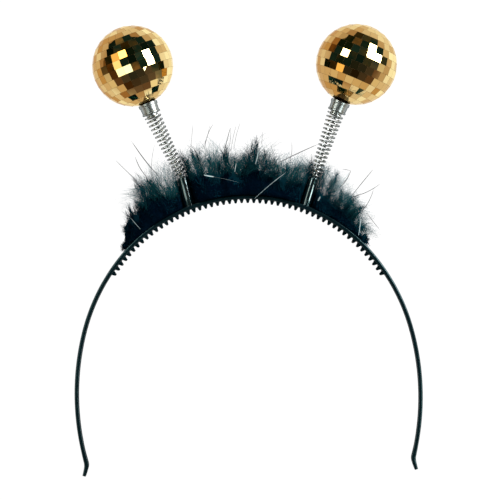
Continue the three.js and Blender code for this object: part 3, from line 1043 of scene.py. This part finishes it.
# Moves points back, out of the space round and in front of a stalk: rooms are half its width at each end.
def drawnBack(points, foot, axes, length, rooms, taper, start):
    away = (points - foot) / mm
    along, across, front = (away @ axes[name] for name in ("along", "across", "front"))
    room = np.interp(along, (0, length), rooms)
    share = np.clip(1 + (room - np.abs(across)) / taper, 0, 1) ** 2 * (along > start)
    return points - (np.maximum(front + room, 0) * share)[..., None] * hoopFront * mm


def behindPegs(points):
    rooms = (down["pegRoom"], down["pegRoom"])
    for stalk in stalks.values():
        foot, axes = stalk["pegFoot"], stalk["peg"]
        points = drawnBack(points, foot, axes, peg["length"], rooms, down["pegTaper"], down["pegStart"])
    return points


def behindSprings(points):
    rooms = [spring[name] + marabou["clearSpring"] for name in ("footRadius", "topRadius")]
    for stalk in stalks.values():
        foot, axes, length = stalk["springFoot"], stalk["spring"], stalk["springLength"] / mm
        points = drawnBack(points, foot, axes, length, rooms, marabou["springTaper"], 0)
    return points


def downEnds():  # degrees on the crown
    return marabou["tuftAngle"][0] - down["beyond"], marabou["tuftAngle"][-1] + down["beyond"]


# Locks of strands from all over the dense layer, which turn up and close in as they go.
def downStrands(wave, rng):
    count = down["locks"]
    angle = rng.uniform(*downEnds(), count)
    turn = rng.uniform(down["rim"], math.pi - down["rim"], count)
    root = downSurface(angle, turn, wave)
    probeRound, probeOver = down["probe"]
    along = downSurface(angle + probeRound, turn, wave) - root
    over = downSurface(angle, turn + probeOver, wave) - root
    normal = unit(np.cross(over, along))
    level = np.zeros(count)
    upward = unit(onCrown(angle, level + 1, level) - onCrown(angle, level, level))
    begin, end = (unit(square * normal + up * upward + astray * rng.normal(size=(count, 3)))
                  for square, up, astray in (down["begin"], down["end"]))
    grown = np.clip(tuftHeight(angle) / down["fullTuft"], down["leastLength"], 1.0)
    reach = rng.uniform(*down["length"], count) * grown

    lock = np.repeat(np.arange(count), down["each"])
    strands = len(lock)
    each = (strands, 1, 1)
    spreadRound, spreadOver = down["spread"]
    ownAngle = angle[lock] + rng.normal(0, spreadRound, strands)
    ownTurn = turn[lock] + rng.normal(0, spreadOver, strands)
    ownTurn = np.clip(ownTurn, down["ownRim"], math.pi - down["ownRim"])
    apart = downSurface(ownAngle, ownTurn, wave) - root[lock]
    u = np.linspace(0, 1, down["steps"])[None, :, None]
    share = u * rng.uniform(*down["ownLength"], each)
    begin, end, reach = begin[lock][:, None], end[lock][:, None], reach[lock][:, None, None]
    line = (root[lock] + apart)[:, None] - apart[:, None] * down["closing"] * u - down["sunk"] * begin
    line = line + reach * (begin * share + (end - begin) * down["sweep"] * share**2)
    beat = rng.uniform(*marabou["beats"], each)
    phase = rng.uniform(0, 2 * np.pi, each)
    line = line + sideways(begin, rng) * down["wave"] * reach * u * np.sin(2 * np.pi * beat * u + phase)
    return line, toned(angle, rng)[lock]


def makeDown(material, strandMaterial):
    rng = np.random.default_rng(down["seed"])
    waves = down["waves"]
    wave = [rng.normal(0, down["waveRound"], waves), rng.normal(0, down["waveOver"], waves)]
    wave = np.stack([*wave, rng.uniform(0, 2 * np.pi, waves)], -1)
    first, last = downEnds()
    angle = np.arange(first, last + down["ringStep"] / 2, down["ringStep"])
    turn = np.linspace(0, math.pi, down["ringPoints"])
    points = behindPegs(toFrame(downSurface(*np.meshgrid(angle, turn, indexing="ij"), wave)))
    points[..., 2] = np.maximum(points[..., 2], marabou["floor"] * mm)
    faces = closedFaces(*points.shape[:2])
    piece = newPiece("marabou_underlayer", points.reshape(-1, 3), faces, material, down["smooth"])
    settle(piece, "headband", "marabou", "feather_trim")
    line, tone = downStrands(wave, rng)
    width = np.linspace(*down["width"], line.shape[1])
    strandPieces("marabou_down", line, tone, width, strandMaterial, down["pieces"], rng)


def liftOff(line):  # strands that would dip into the band lie on its outer face instead
    short = np.maximum(marabou["clearBand"] - crownHeight(line), 0)
    x, y = line[..., 0], line[..., 1] + band["crown"][0]
    outward = np.stack([x, y, np.zeros_like(x)], -1) / np.hypot(x, y)[..., None]
    return line + outward * short[..., None]


def strandPieces(name, line, tone, width, material, pieces, rng, spare=False):  # closed three-sided strands
    points = toFrame(line) if spare else behindSprings(behindPegs(toFrame(liftOff(line))))
    points[..., 2] = np.maximum(points[..., 2], marabou["floor"] * mm)
    order = np.argsort(line[:, 0, 0], kind="stable")
    count, steps, corners = len(points), points.shape[1], 3
    tangent = unit(np.gradient(points, axis=1))
    first = unit(np.cross(tangent, rng.normal(size=(count, 1, 3))))
    second = np.cross(tangent, first)
    turn = np.linspace(0, 2 * np.pi, corners, endpoint=False)[:, None]
    ring = np.cos(turn) * first[:, :, None] + np.sin(turn) * second[:, :, None]
    angle = np.degrees(np.arctan2(line[:, 0, 0], line[:, 0, 1] + band["crown"][0]))
    thin = 1.0 if spare else np.interp(angle, marabou["thinAngle"], marabou["thin"])[:, None]
    radius = np.broadcast_to(width * thin, (count, steps)) * mm
    rings = points[:, :-1, None] + ring[:, :-1] * radius[:, :-1, None, None]
    cloud = np.concatenate([rings.reshape(count, -1, 3), points[:, -1:]], 1)
    size = cloud.shape[1]

    quads = gridFaces(steps - 1, corners)
    last = (steps - 2) * corners
    tips = [[last + k, last + (k + 1) % corners, size - 1] for k in range(corners)]
    triangles = np.array([*tips, [2, 1, 0]])
    along = np.concatenate([np.repeat(np.linspace(0, 1, steps)[:-1], corners), [1.0]])
    around = np.concatenate([np.tile(np.arange(corners) / corners, steps - 1), [0.5]])
    toneStart, toneSpan = strandMap["tone"]
    alongStart, alongSpan = strandMap["along"]
    for part, chosen in enumerate(np.array_split(order, pieces)):
        shift = (np.arange(len(chosen)) * size)[:, None, None]
        faceSets = [(shift + quads).reshape(-1, 4), (shift + triangles).reshape(-1, 3)]
        title = f"{name}_{part + 1}" if pieces > 1 else name
        piece = newPiece(title, cloud[chosen].reshape(-1, 3), faceSets, material, marabou["smooth"])
        place = np.empty((len(chosen), size, 2))  # a map by tone and by place along the strand
        place[..., 0] = toneStart + toneSpan * tone[chosen][:, None] + around * strandMap["around"]
        place[..., 1] = alongStart + along * alongSpan
        layer = piece.data.uv_layers.new(name="OFBake")
        vertex = np.empty(len(piece.data.loops), np.int32)
        piece.data.loops.foreach_get("vertex_index", vertex)
        layer.data.foreach_set("uv", place.reshape(-1, 2)[vertex].astype(np.float32).ravel())
        settle(piece, "headband", "marabou", "feather_trim")
        print(piece.name, len(chosen), "strands,", 2 * len(faceSets[0]) + len(faceSets[1]), "triangles")


def featherDown(name, look):  # by each strand's own place in the map: its tone and how far along
    material, shader, wire = newMaterial(name, {"Specular IOR Level": look["sheen"]})
    place = wire.node("ShaderNodeUVMap", {"uv_map": "OFBake"})
    own = wire.node("ShaderNodeSeparateXYZ", {}, {0: place}, 0)
    along = wire.node("ShaderNodeSeparateXYZ", {}, {0: place}, 1)
    root = plumage["rootTone"]
    tone = (own * (root + (1 - root) * along)).clamped()
    wire.plug(shader.inputs["Base Color"], tone.between(*look["shades"]))
    wire.plug(shader.inputs["Roughness"], plumage["rough"] + plumage["roughGain"] * along)
    return material


def underDown():  # the layer below the strands, mottled like them
    look = plumage["under"]
    material, shader, wire = newMaterial("marabou_underlayer", {"Specular IOR Level": look["sheen"]})
    cloud = wire.noise(*look["cloud"])
    wire.plug(shader.inputs["Base Color"], (cloud ** look["cloudPower"]).between(*look["shades"]))
    wire.plug(shader.inputs["Roughness"], look["rough"] + look["roughSpread"] * cloud)
    wire.plug(shader.inputs["Normal"], wire.bump(wire.noise(*look["fuzz"]), *look["fuzzBump"]))
    return material


def makeFilaments():
    rng = np.random.default_rng(filaments["seed"])
    u = np.linspace(0, 1, filaments["steps"])
    least, waveStart, waveSpan = filaments["swell"]
    swell = least + (1 - least) * np.sin(np.pi * (waveStart + waveSpan * u))
    for kind in ("dark", "pale"):
        lines, widths = [], []
        for low, high, front, width in filaments[kind]:
            start, end = onCrown(*low, front), onCrown(*high, front)
            length = np.linalg.norm(end - start)
            bow = sideways(unit(end - start), rng) * length * filaments["bow"][kind]
            lines.append(start + (end - start) * u[:, None] + bow * np.sin(np.pi * u)[:, None])
            widths.append(width * swell)
        gloss = featherDown(f"marabou_filament_{kind}", plumage[kind])
        lines, widths = np.array(lines), np.array(widths)
        tone = rng.uniform(*filaments["tone"], len(lines))
        strandPieces(f"marabou_filaments_{kind}", lines, tone, widths, gloss, 1, rng, spare=True)


def makeMarabou():
    soft = featherDown("marabou_down", plumage["down"])
    makeDown(underDown(), soft)
    rng = np.random.default_rng(marabou["seed"])
    line, tone = barbLines(rng)
    width = np.linspace(*marabou["barbWidth"], line.shape[1])
    strandPieces("marabou", line, tone, width, soft, marabou["pieces"], rng)

    rng = np.random.default_rng(wisps["seed"])
    line, tone = wispLines(rng)
    width = np.linspace(*wisps["width"], line.shape[1])
    strandPieces("marabou_wisps", line, tone, width, featherDown("marabou_wisps", plumage["wisps"]), 1, rng)
    makeFilaments()


makeMarabou()
